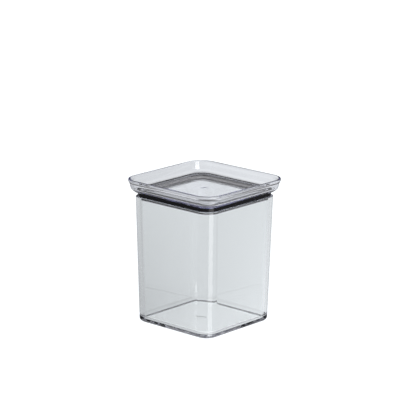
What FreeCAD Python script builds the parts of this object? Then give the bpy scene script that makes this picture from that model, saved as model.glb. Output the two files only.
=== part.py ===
import FreeCAD, Part
import math
import os

import Sketcher
from FreeCAD import Vector

# A square storage canister of clear plastic with a push-in lid, in millimetres. The origin is at the
# centre of the foot, on the surface that the canister stands on, with +Z up.
#
# Every horizontal outline is a square with rounded corners, centred on Z. "Half" is half its width
# across the flats, "Corner" is its corner radius, and a "Level" is a height above the foot.
#
# container  a drafted vessel with a rounded foot, a shallow recess underneath and a gate well
# lid        one moulding, a flared tray above and a hollow plug below, with a groove round the plug
# seal       a soft ring that fills the groove; its skirt closes against the container's wall, and its
#            wider collar lies between the tray and the rim

partsFolder = "parts"

drivingDimensions = {
    # container
    "footHalf": 49.4,
    "mouthHalf": 52.3,
    "outerCorner": 13.4,
    "mouthLevel": 129.4,
    "wallThickness": 2.9,
    "floorThickness": 3.0,
    "boreCorner": 13.0,
    "footRound": 3.3,
    "floorRound": 4.5,
    "rimRound": 0.7,
    "recessHalf": 43.4,
    "recessCorner": 8.4,
    "recessDepth": 0.8,
    # the gate wells, where the plastic entered each mould
    "gateRadius": 3.6,
    "gateDepth": 0.5,
    # the gap between the rim and the tray; the tray's outlines from its underside up to its brim,
    # and the space inside it
    "lidGap": 4.4,
    "trayHeight": 13.4,
    "flangeHalf": 52.3,
    "flangeCorner": 11.5,
    "heelHalf": 56.5,
    "heelCorner": 15.7,
    "heelRise": 3.3,
    "waistHalf": 57.6,
    "waistCorner": 16.8,
    "waistRise": 8.6,
    "brimHalf": 59.0,
    "brimCorner": 18.2,
    "brimRise": 11.2,
    "brimRound": 0.8,
    "plateThickness": 3.0,
    "trayFloorHalf": 54.0,
    "trayFloorCorner": 13.2,
    "trayMouthHalf": 56.4,
    "trayMouthCorner": 15.6,
    "trayRound": 2.0,
    # plug of the lid, from its bead up to the tray
    "plugDepth": 7.4,
    "beadHeight": 0.8,
    "beadHalf": 48.8,
    "beadCorner": 12.3,
    "beadRound": 0.3,
    "coreHalf": 47.7,
    "coreCorner": 11.2,
    "hollowHalf": 45.7,
    "hollowCorner": 9.2,
    "hollowRound": 1.0,
    # seal
    "sealGap": 0.1,
    "skirtReach": 1.5,
    "collarReach": 3.5,
    "collarHeight": 4.1,
    "sealRound": 0.4,
}

# Levels and sizes that follow from the driving dimensions, as expressions of the sheet.
flangeLevel = "(dims.mouthLevel + dims.lidGap)"
plateLevel = f"({flangeLevel} + dims.plateThickness)"
brimLevel = f"({flangeLevel} + dims.trayHeight)"
plugLevel = f"({flangeLevel} - dims.plugDepth)"
grooveLevel = f"({plugLevel} + dims.beadHeight)"
grooveHeight = "(dims.plugDepth - dims.beadHeight)"
sealLevel = f"({grooveLevel} + dims.sealGap)"
sealHeight = f"({grooveHeight} - 2 * dims.sealGap)"
wallLean = "((dims.mouthHalf - dims.footHalf) / dims.mouthLevel)"
boreFloorHalf = f"(dims.footHalf + {wallLean} * dims.floorThickness - dims.wallThickness)"
boreMouthHalf = "(dims.mouthHalf - dims.wallThickness)"

document = FreeCAD.newDocument("canister")


def makeSheet():
    sheet = document.addObject("Spreadsheet::Sheet", "dims")
    for row, (name, value) in enumerate(drivingDimensions.items(), start=1):
        sheet.set(f"A{row}", name)
        sheet.set(f"B{row}", str(value))
        sheet.setAlias(f"B{row}", name)
    document.recompute()


def makeBody(label):
    body = document.addObject("PartDesign::Body", label)
    body.Label = label
    return body


def levelSketch(body, name, level):
    """A sketch on the body's XY plane, raised to a level."""
    plane = next(item for item in body.Origin.OriginFeatures if item.Role == "XY_Plane")
    sketch = body.newObject("Sketcher::SketchObject", name)
    sketch.AttachmentSupport = (plane, [""])
    sketch.MapMode = "FlatFace"
    sketch.setExpression("AttachmentOffset.Base.z", level)
    return sketch


def roundedSquare(body, name, level, half, corner):
    """A sketch of a square with rounded corners. Side k and corner k are turned by k quarters."""
    sketch = levelSketch(body, name, level)
    startHalf = 50.0
    startCorner = 10.0
    centre = startHalf - startCorner
    for k in range(4):
        quarter = FreeCAD.Rotation(Vector(0, 0, 1), 90 * k)
        ends = [quarter.multVec(Vector(startHalf, y, 0)) for y in (-centre, centre)]
        sketch.addGeometry(Part.LineSegment(*ends))
        arcCentre = quarter.multVec(Vector(centre, centre, 0))
        circle = Part.Circle(arcCentre, Vector(0, 0, 1), startCorner)
        sketch.addGeometry(Part.ArcOfCircle(circle, math.radians(90 * k), math.radians(90 * k + 90)))
    for k in range(4):
        side = 2 * k
        arc = side + 1
        nextSide = (side + 2) % 8
        sketch.addConstraint(Sketcher.Constraint("Tangent", side, 2, arc, 1))
        sketch.addConstraint(Sketcher.Constraint("Tangent", arc, 2, nextSide, 1))
        sketch.addConstraint(Sketcher.Constraint("Horizontal" if k % 2 else "Vertical", side))
        if k > 0:
            sketch.addConstraint(Sketcher.Constraint("Equal", 1, arc))
    distances = {
        "right": ("DistanceX", -1, 1, 0, 1),
        "rear": ("DistanceY", -1, 1, 2, 1),
        "left": ("DistanceX", 4, 1, -1, 1),
        "front": ("DistanceY", 6, 1, -1, 1),
    }
    for side, constraint in distances.items():
        index = sketch.addConstraint(Sketcher.Constraint(*constraint, startHalf))
        sketch.renameConstraint(index, side)
        sketch.setExpression(f"Constraints.{side}", half)
    index = sketch.addConstraint(Sketcher.Constraint("Radius", 1, startCorner))
    sketch.renameConstraint(index, "corner")
    sketch.setExpression("Constraints.corner", corner)
    return sketch


def centreCircle(body, name, level, radius):
    """A sketch of a circle round the Z axis."""
    sketch = levelSketch(body, name, level)
    sketch.addGeometry(Part.Circle(Vector(0, 0, 0), Vector(0, 0, 1), 3.0))
    sketch.addConstraint(Sketcher.Constraint("Coincident", 0, 3, -1, 1))
    index = sketch.addConstraint(Sketcher.Constraint("Radius", 0, 3.0))
    sketch.renameConstraint(index, "radius")
    sketch.setExpression("Constraints.radius", radius)
    return sketch


def loft(body, name, kind, sketches):
    """Straight walls from outline to outline; kind is AdditiveLoft or SubtractiveLoft."""
    feature = body.newObject(f"PartDesign::{kind}", name)
    feature.Profile = (sketches[0], [""])
    feature.Sections = sketches[1:]
    feature.Ruled = True
    return recomputed(body, feature, removes=kind == "SubtractiveLoft")


def pad(body, name, sketch, height):
    """Adds the sketch's prism, upwards from the sketch."""
    feature = body.newObject("PartDesign::Pad", name)
    feature.Profile = sketch
    feature.setExpression("Length", height)
    return recomputed(body, feature, removes=False)


def pocket(body, name, sketch, depth, upwards):
    """Removes the sketch's prism, above or below the sketch."""
    feature = body.newObject("PartDesign::Pocket", name)
    feature.Profile = sketch
    feature.setExpression("Length", depth)
    feature.Reversed = upwards
    return recomputed(body, feature, removes=True)


def recomputed(body, feature, removes):
    """Recomputes, and stops if the feature didn't add or remove anything."""
    before = feature.BaseFeature.Shape.Volume if feature.BaseFeature else 0.0
    document.recompute()
    change = feature.Shape.Volume - before
    if (change >= 0 and removes) or (change <= 0 and not removes):
        raise RuntimeError(f"{body.Label}.{feature.Name} changed the volume by {change:.2f}")
    return feature


def roundEdges(body, name, radius, level, outline=(0.0, 1000.0)):
    """Fillets the edges at a level, whose distance from the Z axis is in the range outline."""
    base = body.Tip
    height = base.evalExpression(level)
    chosen = []
    for number, edge in enumerate(base.Shape.Edges, start=1):
        box = edge.BoundBox
        reach = max(abs(limit) for limit in (box.XMin, box.XMax, box.YMin, box.YMax))
        isLevel = abs(box.ZMin - height) < 0.01 and abs(box.ZMax - height) < 0.01
        if isLevel and outline[0] < reach < outline[1]:
            chosen.append(f"Edge{number}")
    feature = body.newObject("PartDesign::Fillet", name)
    feature.Base = (base, chosen)
    feature.setExpression("Radius", radius)
    document.recompute()
    return feature


def makeContainer():
    body = makeBody("container")
    foot = roundedSquare(body, "foot", "0", "dims.footHalf", "dims.outerCorner")
    mouth = roundedSquare(body, "mouth", "dims.mouthLevel", "dims.mouthHalf", "dims.outerCorner")
    loft(body, "outside", "AdditiveLoft", [foot, mouth])
    boreFloor = roundedSquare(body, "boreFloor", "dims.floorThickness", boreFloorHalf, "dims.boreCorner")
    boreMouth = roundedSquare(body, "boreMouth", "dims.mouthLevel", boreMouthHalf, "dims.boreCorner")
    loft(body, "bore", "SubtractiveLoft", [boreFloor, boreMouth])
    roundEdges(body, "floorFillet", "dims.floorRound", "dims.floorThickness")
    roundEdges(body, "footFillet", "dims.footRound", "0")
    roundEdges(body, "rimFillet", "dims.rimRound", "dims.mouthLevel")
    recess = roundedSquare(body, "recess", "0", "dims.recessHalf", "dims.recessCorner")
    pocket(body, "footRecess", recess, "dims.recessDepth", upwards=True)
    gate = centreCircle(body, "gate", "dims.recessDepth", "dims.gateRadius")
    pocket(body, "gateWell", gate, "dims.gateDepth", upwards=True)
    return body


def makeLid():
    body = makeBody("lid")
    outlines = ["flange", "heel", "waist", "brim"]
    sections = []
    for name in outlines:
        rise = "0" if name == "flange" else f"dims.{name}Rise"
        level = f"{flangeLevel} + {rise}"
        sections.append(roundedSquare(body, name, level, f"dims.{name}Half", f"dims.{name}Corner"))
    sections.append(roundedSquare(body, "brimTop", brimLevel, "dims.brimHalf", "dims.brimCorner"))
    loft(body, "tray", "AdditiveLoft", sections)
    trayFloor = roundedSquare(body, "trayFloor", plateLevel, "dims.trayFloorHalf", "dims.trayFloorCorner")
    trayMouth = roundedSquare(body, "trayMouth", brimLevel, "dims.trayMouthHalf", "dims.trayMouthCorner")
    loft(body, "traySpace", "SubtractiveLoft", [trayFloor, trayMouth])
    bead = roundedSquare(body, "bead", plugLevel, "dims.beadHalf", "dims.beadCorner")
    pad(body, "plugBead", bead, "dims.beadHeight")
    core = roundedSquare(body, "core", grooveLevel, "dims.coreHalf", "dims.coreCorner")
    pad(body, "plugCore", core, grooveHeight)
    hollow = roundedSquare(body, "hollow", plugLevel, "dims.hollowHalf", "dims.hollowCorner")
    pocket(body, "plugHollow", hollow, "dims.plugDepth", upwards=True)
    gate = centreCircle(body, "gate", plateLevel, "dims.gateRadius")
    pocket(body, "gateWell", gate, "dims.gateDepth", upwards=False)
    hollowLimits = (0.0, body.evalExpression("dims.hollowHalf") + 0.1)
    roundEdges(body, "hollowFillet", "dims.hollowRound", flangeLevel, hollowLimits)
    gateLimit = body.evalExpression("dims.gateRadius") + 0.1
    roundEdges(body, "trayFillet", "dims.trayRound", plateLevel, (gateLimit, 1000.0))
    roundEdges(body, "brimFillet", "dims.brimRound", brimLevel)
    roundEdges(body, "beadFillet", "dims.beadRound", plugLevel)
    return body


def makeSeal():
    body = makeBody("seal")
    skirt = roundedSquare(
        body,
        "skirt",
        sealLevel,
        "dims.coreHalf + dims.skirtReach",
        "dims.coreCorner + dims.skirtReach",
    )
    pad(body, "sealSkirt", skirt, sealHeight)
    collarLevel = f"({sealLevel} + {sealHeight} - dims.collarHeight)"
    collar = roundedSquare(
        body,
        "collar",
        collarLevel,
        "dims.coreHalf + dims.collarReach",
        "dims.coreCorner + dims.collarReach",
    )
    pad(body, "sealCollar", collar, "dims.collarHeight")
    hole = roundedSquare(body, "hole", sealLevel, "dims.coreHalf", "dims.coreCorner")
    pocket(body, "sealHole", hole, sealHeight, upwards=True)
    outside = (body.evalExpression("dims.coreHalf") + 0.1, 1000.0)
    beyondSkirt = (body.evalExpression("dims.coreHalf + dims.skirtReach") + 0.1, 1000.0)
    roundEdges(body, "skirtFoot", "dims.sealRound", sealLevel, outside)
    roundEdges(body, "collarFoot", "dims.sealRound", collarLevel, beyondSkirt)
    roundEdges(body, "collarTop", "dims.sealRound", f"{sealLevel} + {sealHeight}", beyondSkirt)
    return body


def checkObjects(bodies):
    for item in document.Objects:
        if {"Invalid", "Error"} & set(item.State):
            raise RuntimeError(f"{item.Label} failed: {item.State}")
    for body in bodies:
        if body.Shape.isNull() or not body.Shape.isValid() or len(body.Shape.Solids) != 1:
            raise RuntimeError(f"{body.Label} isn't one valid solid")


makeSheet()
bodies = [makeContainer(), makeLid(), makeSeal()]
document.recompute()
checkObjects(bodies)
os.makedirs(partsFolder, exist_ok=True)
for body in bodies:
    body.Shape.exportStep(os.path.join(partsFolder, f"{body.Label}.step"))
    box = body.Shape.BoundBox
    print(f"{body.Label}: {box.XLength:.1f} x {box.YLength:.1f} x {box.ZLength:.1f} mm,", end=" ")
    print(f"levels {box.ZMin:.1f} to {box.ZMax:.1f}, {body.Shape.Volume / 1000:.1f} cm3")
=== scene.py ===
import math

import bmesh
import bpy
from mathutils import Matrix, Vector


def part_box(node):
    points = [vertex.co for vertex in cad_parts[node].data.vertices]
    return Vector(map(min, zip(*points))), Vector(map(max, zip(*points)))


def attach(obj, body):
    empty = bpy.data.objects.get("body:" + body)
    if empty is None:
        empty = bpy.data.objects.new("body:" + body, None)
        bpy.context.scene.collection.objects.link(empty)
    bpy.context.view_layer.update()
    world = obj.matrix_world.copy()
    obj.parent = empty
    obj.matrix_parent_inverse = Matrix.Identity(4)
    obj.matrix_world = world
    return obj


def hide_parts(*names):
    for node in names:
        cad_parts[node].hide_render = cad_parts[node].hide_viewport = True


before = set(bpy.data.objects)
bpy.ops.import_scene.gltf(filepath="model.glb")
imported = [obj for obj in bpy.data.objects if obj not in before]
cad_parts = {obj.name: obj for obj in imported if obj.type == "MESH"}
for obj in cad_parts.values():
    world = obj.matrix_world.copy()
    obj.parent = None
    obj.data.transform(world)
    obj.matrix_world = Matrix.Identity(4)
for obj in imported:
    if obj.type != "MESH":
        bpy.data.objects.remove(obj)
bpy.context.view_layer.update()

mm = 0.001
scene = bpy.context.scene
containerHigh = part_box("container")[1]
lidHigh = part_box("lid")[1]
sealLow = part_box("seal")[0]


def srgb(hexColour):
    # A hex colour as the linear values that shaders and lights take
    parts = [int(hexColour[k:k + 2], 16) / 255 for k in (1, 3, 5)]
    return [p / 12.92 if p <= 0.04045 else ((p + 0.055) / 1.055) ** 2.4 for p in parts] + [1.0]


def addNode(tree, kind, settings=None, inputs=None, links=None):
    # Adds a node; settings are its own properties, inputs its socket values, links what feeds them
    node = tree.nodes.new(kind)
    for name, value in (settings or {}).items():
        setattr(node, name, value)
    for name, value in (inputs or {}).items():
        node.inputs[name].default_value = value
    for name, source in (links or {}).items():
        tree.links.new(source, node.inputs[name])
    return node


def fromTo(low, high):
    # Socket values for a Map Range node that maps the first range onto the second
    return {"From Min": low[0], "From Max": low[1], "To Min": high[0], "To Max": high[1]}


def placeStops(ramp, stops):
    # Gives a colour ramp its places and colours
    elements = ramp.color_ramp.elements
    while len(elements) < len(stops):
        elements.new(0.5)
    for element, (place, tone) in zip(elements, stops):
        element.position = place
        element.color = srgb(tone)


def newMaterial(name):
    material = bpy.data.materials.new(name)
    material.use_nodes = True
    material.node_tree.nodes.clear()
    return material, material.node_tree


cameraView = {
    "azimuth": 41.61,
    "elevation": 14.89,
    "roll": 0.55,
    "distance": 2.2,
    "lens": 190.5,
    "sensorWidth": 36.0,
    "farthest": 50.0,
    "aimAside": 0.0041,
    "aimHeight": 0.11585,
    "bounces": 40,  # light runs far along the inside of the clear walls
}


def makeCamera(v):
    data = bpy.data.cameras.new("camera")
    data.lens = v["lens"]
    data.sensor_width = v["sensorWidth"]
    data.clip_end = v["farthest"]
    camera = bpy.data.objects.new("camera", data)
    scene.collection.objects.link(camera)
    azimuth = math.radians(v["azimuth"])
    turn = Matrix.Rotation(azimuth, 4, "Z") @ Matrix.Rotation(math.radians(90 - v["elevation"]), 4, "X")
    aside = Vector((math.cos(azimuth), math.sin(azimuth), 0)) * v["aimAside"]
    target = aside + Vector((0, 0, v["aimHeight"]))
    back = turn.to_3x3() @ Vector((0, 0, v["distance"]))
    roll = Matrix.Rotation(math.radians(v["roll"]), 4, "Z")
    camera.matrix_world = Matrix.Translation(target + back) @ turn @ roll
    scene.camera = camera
    scene.view_settings.view_transform = "Standard"
    for limit in ("max_bounces", "glossy_bounces", "transmission_bounces"):
        setattr(scene.cycles, limit, v["bounces"])


makeCamera(cameraView)
print("camera placed")

modelling = {
    "levelSlack": 0.02 * mm,  # heights and half widths nearer than this count as the same
    "cornerSlack": 0.001 * mm,
    "sweepWeld": 0.005 * mm,
    "pieceWeld": 0.004 * mm,
    "sectionSteps": 5,
    "wellSides": 48,
    "smoothAngle": math.radians(50),
    "flatWeight": 100,  # the most a normal can favour large faces, so that flat faces stay flat
}


def newPiece(name):
    piece = bpy.context.object
    piece.name = name
    piece.data.name = name
    return piece


def pick(kind, test):
    # In edit mode, selects only the vertices, edges or faces that pass the test
    bpy.ops.mesh.select_mode(type=kind)
    bpy.ops.mesh.select_all(action="DESELECT")
    mesh = bpy.context.object.data
    shape = bmesh.from_edit_mesh(mesh)
    for item in {"VERT": shape.verts, "EDGE": shape.edges, "FACE": shape.faces}[kind]:
        if test(item):
            item.select_set(True)
    bmesh.update_edit_mesh(mesh)


def atLevel(level, outline=(0.0, 1.0)):
    # A test for pick: each corner at this height, and as far from Z along X or Y as the outline allows
    def fits(co):
        reach = max(abs(co.x), abs(co.y))
        return abs(co.z - level) < modelling["levelSlack"] and outline[0] <= reach <= outline[1]
    return lambda item: all(fits(v.co) for v in item.verts)


def drawSection(name, points, centre):
    # A chain of edges in a vertical plane, at the start of a side; each corner may be rounded
    bpy.ops.object.select_all(action="DESELECT")
    bpy.ops.mesh.primitive_plane_add(size=mm, location=(0, 0, 0))
    piece = newPiece(name)
    bpy.ops.object.mode_set(mode="EDIT")
    bpy.ops.mesh.select_mode(type="VERT")
    bpy.ops.mesh.select_all(action="SELECT")
    bpy.ops.mesh.merge(type="CENTER")
    at = Vector((0, 0, 0))
    for k, (half, level, setback) in enumerate(points):
        place = Vector((half, -centre, level))
        if k == 0:
            bpy.ops.transform.translate(value=place - at)
        else:
            bpy.ops.mesh.extrude_vertices_move(TRANSFORM_OT_translate={"value": place - at})
        at = place
    for half, level, setback in points:
        if setback:
            corner = Vector((half, -centre, level))
            pick("VERT", lambda v: (v.co - corner).length < modelling["cornerSlack"])
            bpy.ops.mesh.bevel(offset=setback, segments=modelling["sectionSteps"], affect="VERTICES")
    return piece


def sweepSquare(centre, steps):
    # Carries the drawn chain round a square whose corners turn about (centre, centre)
    bpy.ops.mesh.select_mode(type="EDGE")
    bpy.ops.mesh.select_all(action="SELECT")
    for k in range(4):
        turn = Matrix.Rotation(k * math.pi / 2, 3, "Z")
        along = turn @ Vector((0, 2 * centre, 0))
        bpy.ops.mesh.extrude_edges_move(TRANSFORM_OT_translate={"value": along})
        pivot = turn @ Vector((centre, centre, 0))
        bpy.ops.mesh.spin(steps=steps, angle=-math.pi / 2, center=pivot, axis=(0, 0, 1))
    bpy.ops.mesh.select_all(action="SELECT")
    bpy.ops.mesh.remove_doubles(threshold=modelling["sweepWeld"])


def ring(name, outline, centre, steps, base):
    # A section given in millimetres above the base, swept round
    points = [(half * mm, base + rise * mm, setback * mm) for half, rise, setback in outline]
    piece = drawSection(name, points, centre)
    sweepSquare(centre, steps)
    return piece


def cappedRing(name, outline, centre, steps, base):
    # A ring with one flat face across it, where its section ends
    piece = ring(name, outline, centre, steps, base)
    half, rise, _ = outline[-1]
    reach = (half * mm / 2, half * mm + modelling["levelSlack"])
    pick("EDGE", atLevel(base + rise * mm, reach))
    bpy.ops.mesh.edge_face_add()
    bpy.ops.object.mode_set(mode="OBJECT")
    return piece


def joinPieces(name, pieces):
    bpy.ops.object.select_all(action="DESELECT")
    for piece in pieces:
        piece.select_set(True)
    bpy.context.view_layer.objects.active = pieces[0]
    bpy.ops.object.join()
    return newPiece(name)


def closeGap():
    # Fills the flat ring between the two open outlines of a joined piece
    bpy.ops.object.mode_set(mode="EDIT")
    pick("EDGE", lambda edge: edge.is_boundary)
    bpy.ops.mesh.fill(use_beauty=True)
    bpy.ops.mesh.select_all(action="SELECT")
    bpy.ops.mesh.normals_make_consistent(inside=False)


def cutWell(piece, level, radius, depth):
    # A shallow round gate well, cut into a flat face that is at this level
    bpy.ops.object.mode_set(mode="OBJECT")
    bpy.ops.object.select_all(action="DESELECT")
    bpy.ops.mesh.primitive_cylinder_add(
        vertices=modelling["wellSides"], radius=radius, depth=2 * depth, location=(0, 0, level)
    )
    cutter = bpy.context.object
    bpy.ops.object.select_all(action="DESELECT")
    bpy.context.view_layer.objects.active = piece
    piece.select_set(True)
    bpy.ops.object.modifier_add(type="BOOLEAN")
    piece.modifiers[-1].object = cutter
    piece.modifiers[-1].solver = "EXACT"
    bpy.ops.object.modifier_apply(modifier=piece.modifiers[-1].name)
    bpy.data.objects.remove(cutter)


def finishPiece(piece, body, node):
    bpy.ops.object.mode_set(mode="EDIT")
    bpy.ops.mesh.select_all(action="SELECT")
    bpy.ops.mesh.remove_doubles(threshold=modelling["pieceWeld"])
    bpy.ops.mesh.normals_make_consistent(inside=False)
    bpy.ops.object.mode_set(mode="OBJECT")
    bpy.ops.object.shade_smooth_by_angle(angle=modelling["smoothAngle"])
    bpy.ops.object.modifier_add(type="WEIGHTED_NORMAL")
    piece.modifiers[-1].keep_sharp = True
    piece.modifiers[-1].weight = modelling["flatWeight"]
    bpy.ops.object.modifier_apply(modifier=piece.modifiers[-1].name)
    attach(piece, body)
    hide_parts(node)


containerShape = {
    "footHalf": 49.4 * mm,
    "mouthHalf": containerHigh.x,
    "height": containerHigh.z,
    "corner": 13.4 * mm,
    "cornerSteps": 16,
    "wall": 2.9 * mm,
    "floor": 3.0 * mm,
    "boreCorner": 13.0 * mm,
    "floorRound": 4.5 * mm,
    "floorSteps": 8,
    "footRound": 3.3 * mm,
    "footSteps": 6,
    "rimRound": 0.7 * mm,
    "rimSteps": 4,
    "recessInset": 6.0 * mm,
    "recessDepth": 0.8 * mm,
    "gateRadius": 3.6 * mm,
    "gateDepth": 0.5 * mm,
}


def draftedBox(name, low, lowHalf, high, highHalf, corner, steps):
    # An upright square vessel with leaning sides and rounded corners, open at the top
    bpy.ops.object.select_all(action="DESELECT")
    bpy.ops.mesh.primitive_cube_add(size=1, location=(0, 0, (low + high) / 2))
    bpy.context.object.scale = (2 * lowHalf, 2 * lowHalf, high - low)
    bpy.ops.object.transform_apply(location=True, rotation=True, scale=True)
    piece = newPiece(name)
    bpy.ops.object.mode_set(mode="EDIT")
    pick("FACE", atLevel(high))
    bpy.ops.transform.resize(value=(highHalf / lowHalf, highHalf / lowHalf, 1))
    pick("EDGE", lambda edge: abs(edge.verts[0].co.z - edge.verts[1].co.z) > (high - low) / 2)
    bpy.ops.mesh.bevel(offset=corner, segments=steps, affect="EDGES")
    pick("FACE", atLevel(high))
    bpy.ops.mesh.delete(type="ONLY_FACE")
    return piece


def makeContainer(c):
    lean = (c["mouthHalf"] - c["footHalf"]) / c["height"]
    floorHalf = c["footHalf"] + lean * c["floor"] - c["wall"]
    boreHalf = c["mouthHalf"] - c["wall"]
    bore = draftedBox("bore", c["floor"], floorHalf, c["height"], boreHalf, c["boreCorner"], c["cornerSteps"])
    pick("EDGE", atLevel(c["floor"]))
    bpy.ops.mesh.bevel(offset=c["floorRound"], segments=c["floorSteps"], affect="EDGES")
    bpy.ops.object.mode_set(mode="OBJECT")
    outside = draftedBox(
        "outside", 0, c["footHalf"], c["height"], c["mouthHalf"], c["corner"], c["cornerSteps"]
    )
    pick("EDGE", atLevel(0))
    bpy.ops.mesh.bevel(offset=c["footRound"], segments=c["footSteps"], affect="EDGES")
    # the recess under the foot
    pick("FACE", atLevel(0))
    bpy.ops.mesh.inset(thickness=c["recessInset"] - c["footRound"])
    bpy.ops.mesh.extrude_region_move(TRANSFORM_OT_translate={"value": (0, 0, c["recessDepth"])})
    bpy.ops.object.mode_set(mode="OBJECT")
    piece = joinPieces("containerShell", [bore, outside])
    # the rim joins the two skins, and its edges are rounded
    closeGap()
    pick("FACE", atLevel(c["height"]))
    bpy.ops.mesh.region_to_loop()
    bpy.ops.mesh.bevel(offset=c["rimRound"], segments=c["rimSteps"], affect="EDGES")
    cutWell(piece, c["recessDepth"], c["gateRadius"], c["gateDepth"])
    finishPiece(piece, "container", "container")
    return piece


container = makeContainer(containerShape)
print("container made")

lidShape = {
    "trayHeight": 13.4 * mm,
    "trayCentre": 40.8 * mm,
    "plugCentre": 36.5 * mm,
    "cornerSteps": 16,
    # half width, height above the tray's underside, and how far each corner is cut back to round it
    "tray": [
        (50.0, 0.0, 0.0),
        (52.3, 0.0, 0.4),
        (56.5, 3.3, 1.5),
        (57.6, 8.6, 1.0),
        (59.0, 11.2, 0.5),
        (59.0, 13.4, 0.8),
        (56.4, 13.4, 0.8),
        (54.0, 3.0, 2.0),
        (50.0, 3.0, 0.0),
    ],
    "plug": [
        (47.7, 0.0, 0.0),
        (47.7, -6.6, 0.2),
        (48.8, -6.6, 0.2),
        (48.8, -7.4, 0.3),
        (45.7, -7.4, 0.4),
        (45.7, 0.0, 1.0),
        (43.5, 0.0, 0.0),
    ],
    "plate": 3.0 * mm,  # the tray's floor above its underside
    "gateRadius": 3.6 * mm,
    "gateDepth": 0.5 * mm,
}


def makeLid(c):
    base = lidHigh.z - c["trayHeight"]
    plug = cappedRing("plug", c["plug"], c["plugCentre"], c["cornerSteps"], base)
    tray = cappedRing("tray", c["tray"], c["trayCentre"], c["cornerSteps"], base)
    piece = joinPieces("lidMoulding", [tray, plug])
    closeGap()  # the flat underside between the plug and the tray
    cutWell(piece, base + c["plate"], c["gateRadius"], c["gateDepth"])
    finishPiece(piece, "lid", "lid")
    return piece


lid = makeLid(lidShape)
print("lid made")

sealShape = {
    "centre": 36.5 * mm,
    "cornerSteps": 16,
    # half width, height above the seal's lower edge, and the cut-back of each corner; the rubber is
    # pressed 0.05 mm into the lower part of the plug's wall, the tray's underside and the container's
    # wall, so that no air is between, and higher up it stands 0.1 mm off the plug
    "section": [
        (47.65, 0.0, 0.0),
        (49.15, 0.0, 0.3),
        (49.2, 1.0, 0.1),
        (49.45, 1.3, 0.1),
        (49.45, 2.0, 0.1),
        (51.2, 2.3, 0.3),
        (51.2, 6.55, 0.2),
        (47.8, 6.55, 0.0),
        (47.8, 4.0, 0.0),
        (47.65, 3.7, 0.0),
    ],
}


def makeSeal(c):
    closedSection = c["section"] + c["section"][:1]
    piece = ring("sealRing", closedSection, c["centre"], c["cornerSteps"], sealLow.z)
    finishPiece(piece, "lid", "seal")
    return piece


seal = makeSeal(sealShape)
print("seal made")

clearPlastic = {
    "roughness": 0.02,
    "ior": 1.57,
    "wavesPerMetre": 28.0,  # each about 36 mm long
    "waveDetail": 1.0,
    "waveStrength": 0.04,
    "waveDepth": 0.2 * mm,
    "lampTint": "#f0f1f5",
}
containerPlastic = {"name": "clearSan", "tint": "#fbfcfc", "depthTint": "#c4c6e6", "density": 3.0}
lidPlastic = {"name": "clearSanLid", "tint": "#fbfbfc", "depthTint": "#b4b4e6", "density": 14.0}


def makeClearPlastic(c, own):
    # SAN, an injection-moulded clear plastic, polished in the mould: glossy, with a faint waviness
    material, tree = newMaterial(own["name"])
    where = addNode(tree, "ShaderNodeTexCoord")
    waves = addNode(
        tree,
        "ShaderNodeTexNoise",
        inputs={"Scale": c["wavesPerMetre"], "Detail": c["waveDetail"]},
        links={"Vector": where.outputs["Object"]},
    )
    bump = addNode(
        tree,
        "ShaderNodeBump",
        inputs={"Strength": c["waveStrength"], "Distance": c["waveDepth"]},
        links={"Height": waves.outputs["Fac"]},
    )
    plastic = addNode(
        tree,
        "ShaderNodeBsdfPrincipled",
        inputs={
            "Base Color": srgb(own["tint"]),
            "Roughness": c["roughness"],
            "IOR": c["ior"],
            "Transmission Weight": 1.0,
        },
        links={"Normal": bump.outputs["Normal"]},
    )
    inside = addNode(
        tree,
        "ShaderNodeVolumeAbsorption",
        inputs={"Color": srgb(own["depthTint"]), "Density": own["density"]},
    )
    # lamps shine through it, so it throws no dark shadow
    ray = addNode(tree, "ShaderNodeLightPath")
    clear = addNode(tree, "ShaderNodeBsdfTransparent", inputs={"Color": srgb(c["lampTint"])})
    mix = addNode(
        tree,
        "ShaderNodeMixShader",
        links={0: ray.outputs["Is Shadow Ray"], 1: plastic.outputs["BSDF"], 2: clear.outputs["BSDF"]},
    )
    addNode(
        tree,
        "ShaderNodeOutputMaterial",
        links={"Surface": mix.outputs["Shader"], "Volume": inside.outputs["Volume"]},
    )
    return material


silicone = {
    "colour": "#1a1a1c",
    "roughness": 0.2,
    "ior": 1.41,
    "grainsPerMetre": 2500.0,  # each about 0.4 mm wide
    "grainStrength": 0.06,
    "grainDepth": 0.05 * mm,
}


def makeSilicone(c):
    # Silicone rubber from a polished mould: near black, satin, with a fine grain
    material, tree = newMaterial("siliconeRubber")
    where = addNode(tree, "ShaderNodeTexCoord")
    grain = addNode(
        tree,
        "ShaderNodeTexNoise",
        inputs={"Scale": c["grainsPerMetre"]},
        links={"Vector": where.outputs["Object"]},
    )
    bump = addNode(
        tree,
        "ShaderNodeBump",
        inputs={"Strength": c["grainStrength"], "Distance": c["grainDepth"]},
        links={"Height": grain.outputs["Fac"]},
    )
    rubber = addNode(
        tree,
        "ShaderNodeBsdfPrincipled",
        inputs={"Base Color": srgb(c["colour"]), "Roughness": c["roughness"], "IOR": c["ior"]},
        links={"Normal": bump.outputs["Normal"]},
    )
    addNode(tree, "ShaderNodeOutputMaterial", links={"Surface": rubber.outputs["BSDF"]})
    return material


container.data.materials.append(makeClearPlastic(clearPlastic, containerPlastic))
lid.data.materials.append(makeClearPlastic(clearPlastic, lidPlastic))
seal.data.materials.append(makeSilicone(silicone))
print("materials made")

directWhite = 1.15  # how bright the floor and the world are where the camera sees them directly

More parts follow.
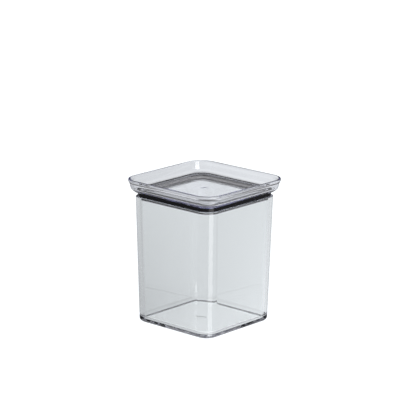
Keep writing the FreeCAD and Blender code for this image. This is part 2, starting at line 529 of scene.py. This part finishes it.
paperFloor = {
    "size": 12.0,
    "drop": 0.2 * mm,
    "roughness": 0.8,
    "shade": "#404040",
    "glowColour": "#f6fafd",
    # painted light: the glow changes from left to right over the first stretch and from near to far over the
    # second
    "across": (-0.08, 0.08),
    "behind": (0.05, 0.55),
    "glowLeft": (0.525, 0.75),
    "glowRight": (0.92, 0.85),
    # and it falls by this much far out to both sides, which the edges of the clear walls show
    "aside": (0.12, 0.5),
    "sideGlow": -0.2,
    "footCentre": (-0.004, 0.004),
    "footHalf": 0.042,
    "footEdge": 4 * mm,
    "footGlow": 0.43,
    "plateFar": 0.525,
    "plateHalf": 0.05,
    "plateEdge": 8 * mm,
    "plateGlow": 0.61,
    "plateDepth": 2.5,  # the far square shows only through more surfaces of plastic than this
}


def squareGlow(tree, where, centre, half, edge, amount):
    # Painted light: extra glow on a square of the floor, with soft edges
    offset = addNode(
        tree,
        "ShaderNodeVectorMath",
        settings={"operation": "SUBTRACT"},
        inputs={1: (centre[0], centre[1], 0.0)},
        links={0: where.outputs["Object"]},
    )
    reach = addNode(
        tree,
        "ShaderNodeVectorMath",
        settings={"operation": "ABSOLUTE"},
        links={0: offset.outputs["Vector"]},
    )
    axes = addNode(tree, "ShaderNodeSeparateXYZ", links={"Vector": reach.outputs["Vector"]})
    most = addNode(
        tree,
        "ShaderNodeMath",
        settings={"operation": "MAXIMUM"},
        links={0: axes.outputs["X"], 1: axes.outputs["Y"]},
    )
    glow = addNode(
        tree,
        "ShaderNodeMapRange",
        inputs=fromTo((half - edge / 2, half + edge / 2), (amount, 0.0)),
        links={"Value": most.outputs["Value"]},
    )
    return glow.outputs["Result"]


def wideGlow(tree, where, c):
    # Painted light on the floor: its glow from left to right and from near to far, less far out to both sides
    turned = addNode(
        tree,
        "ShaderNodeMapping",
        inputs={"Rotation": (0, 0, -math.radians(cameraView["azimuth"]))},
        links={"Vector": where.outputs["Object"]},
    )
    axes = addNode(tree, "ShaderNodeSeparateXYZ", links={"Vector": turned.outputs["Vector"]})
    blend = {}
    for socket, axis, reach, glow in (
        ("Factor", "X", c["across"], (0.0, 1.0)),
        ("A", "Y", c["behind"], c["glowLeft"]),
        ("B", "Y", c["behind"], c["glowRight"]),
    ):
        share = addNode(
            tree, "ShaderNodeMapRange", inputs=fromTo(reach, glow), links={"Value": axes.outputs[axis]}
        )
        blend[socket] = share.outputs["Result"]
    middle = addNode(tree, "ShaderNodeMix", links=blend)
    aside = addNode(
        tree, "ShaderNodeMath", settings={"operation": "ABSOLUTE"}, links={0: axes.outputs["X"]}
    )
    sides = addNode(
        tree,
        "ShaderNodeMapRange",
        inputs=fromTo(c["aside"], (0.0, c["sideGlow"])),
        links={"Value": aside.outputs["Value"]},
    )
    return addNode(
        tree, "ShaderNodeMath", links={0: middle.outputs["Result"], 1: sides.outputs["Result"]}
    )


def makeFloor(c):
    # white where it is seen directly; what shows through the clear walls is a little greyer, and there its
    # glow is painted light
    bpy.ops.object.select_all(action="DESELECT")
    bpy.ops.mesh.primitive_plane_add(size=c["size"], location=(0, 0, -c["drop"]))
    floor = newPiece("studioFloor")
    material, tree = newMaterial("paleFloor")
    where = addNode(tree, "ShaderNodeTexCoord")
    ray = addNode(tree, "ShaderNodeLightPath")
    wide = wideGlow(tree, where, c)
    # painted light: a brighter square of floor under the canister's foot, seen through its base
    foot = squareGlow(tree, where, c["footCentre"], c["footHalf"], c["footEdge"], c["footGlow"])
    # painted light: a brighter square far behind, which shows only through two layers, such as the lid's
    # plate and a wall
    behind = math.radians(cameraView["azimuth"] + 90)
    centre = (c["plateFar"] * math.cos(behind), c["plateFar"] * math.sin(behind))
    square = squareGlow(tree, where, centre, c["plateHalf"], c["plateEdge"], c["plateGlow"])
    deep = addNode(
        tree,
        "ShaderNodeMath",
        settings={"operation": "GREATER_THAN"},
        inputs={1: c["plateDepth"]},
        links={0: ray.outputs["Transmission Depth"]},
    )
    plate = addNode(
        tree,
        "ShaderNodeMath",
        settings={"operation": "MULTIPLY"},
        links={0: square, 1: deep.outputs["Value"]},
    )
    total = wide.outputs["Value"]
    for part in (foot, plate.outputs["Value"]):
        total = addNode(tree, "ShaderNodeMath", links={0: total, 1: part}).outputs["Value"]
    glow = addNode(
        tree,
        "ShaderNodeMix",
        inputs={"B": directWhite},
        links={"Factor": ray.outputs["Is Camera Ray"], "A": total},
    )
    paper = addNode(
        tree,
        "ShaderNodeBsdfPrincipled",
        inputs={
            "Base Color": srgb(c["shade"]),
            "Roughness": c["roughness"],
            "Emission Color": srgb(c["glowColour"]),
        },
        links={"Emission Strength": glow.outputs["Result"]},
    )
    addNode(tree, "ShaderNodeOutputMaterial", links={"Surface": paper.outputs["BSDF"]})
    floor.data.materials.append(material)
    floor.visible_glossy = False  # the polished walls mirror the dark room, not the floor


makeFloor(paperFloor)

room = {
    "strength": 0.75,
    # from straight down at 0 past the horizon at 0.5 to straight up at 1
    "tones": [
        (0.2, "#e4e4e4"),
        (0.3, "#6c6c6e"),
        (0.5, "#6c6c6e"),
        (0.505, "#727272"),
        (0.655, "#727272"),
        (0.7, "#ffffff"),
    ],
}


def makeWorld(c):
    # white where it is seen directly; in reflections and through the plastic it is a room, with a
    # grey belt above the horizon and a dark ground that reflections see, as they miss the floor
    world = bpy.data.worlds.new("studioWorld")
    world.use_nodes = True
    tree = world.node_tree
    tree.nodes.clear()
    where = addNode(tree, "ShaderNodeTexCoord")
    axes = addNode(tree, "ShaderNodeSeparateXYZ", links={"Vector": where.outputs["Generated"]})
    rise = addNode(
        tree,
        "ShaderNodeMapRange",
        inputs=fromTo((-1.0, 1.0), (0.0, 1.0)),
        links={"Value": axes.outputs["Z"]},
    )
    tone = addNode(tree, "ShaderNodeValToRGB", links={"Fac": rise.outputs["Result"]})
    placeStops(tone, c["tones"])
    glow = addNode(
        tree,
        "ShaderNodeBackground",
        inputs={"Strength": c["strength"]},
        links={"Color": tone.outputs["Color"]},
    )
    white = addNode(
        tree,
        "ShaderNodeBackground",
        inputs={"Color": srgb("#ffffff"), "Strength": directWhite},
    )
    ray = addNode(tree, "ShaderNodeLightPath")
    mix = addNode(
        tree,
        "ShaderNodeMixShader",
        links={
            0: ray.outputs["Is Camera Ray"],
            1: glow.outputs["Background"],
            2: white.outputs["Background"],
        },
    )
    addNode(tree, "ShaderNodeOutputWorld", links={"Surface": mix.outputs["Shader"]})
    scene.world = world


makeWorld(room)

softBoxes = {
    "cornerCard": {"place": (1.08, -0.36, -0.3), "size": (0.74, 1.0), "power": 5.5},
    "rimCard": {"place": (1.17, -0.26, 0.35), "size": (0.75, 0.35), "power": 3.6},
}


def makeSoftBox(name, c):
    # A soft box, aimed at the middle of the canister
    data = bpy.data.lights.new(name, "AREA")
    data.shape = "RECTANGLE"
    data.size, data.size_y = c["size"]
    data.energy = c["power"]
    lamp = bpy.data.objects.new(name, data)
    scene.collection.objects.link(lamp)
    lamp.location = c["place"]
    aim = Vector((0, 0, containerHigh.z / 2)) - Vector(c["place"])
    lamp.rotation_euler = aim.to_track_quat("-Z", "Y").to_euler()


for name, box in softBoxes.items():
    makeSoftBox(name, box)
print("studio made")
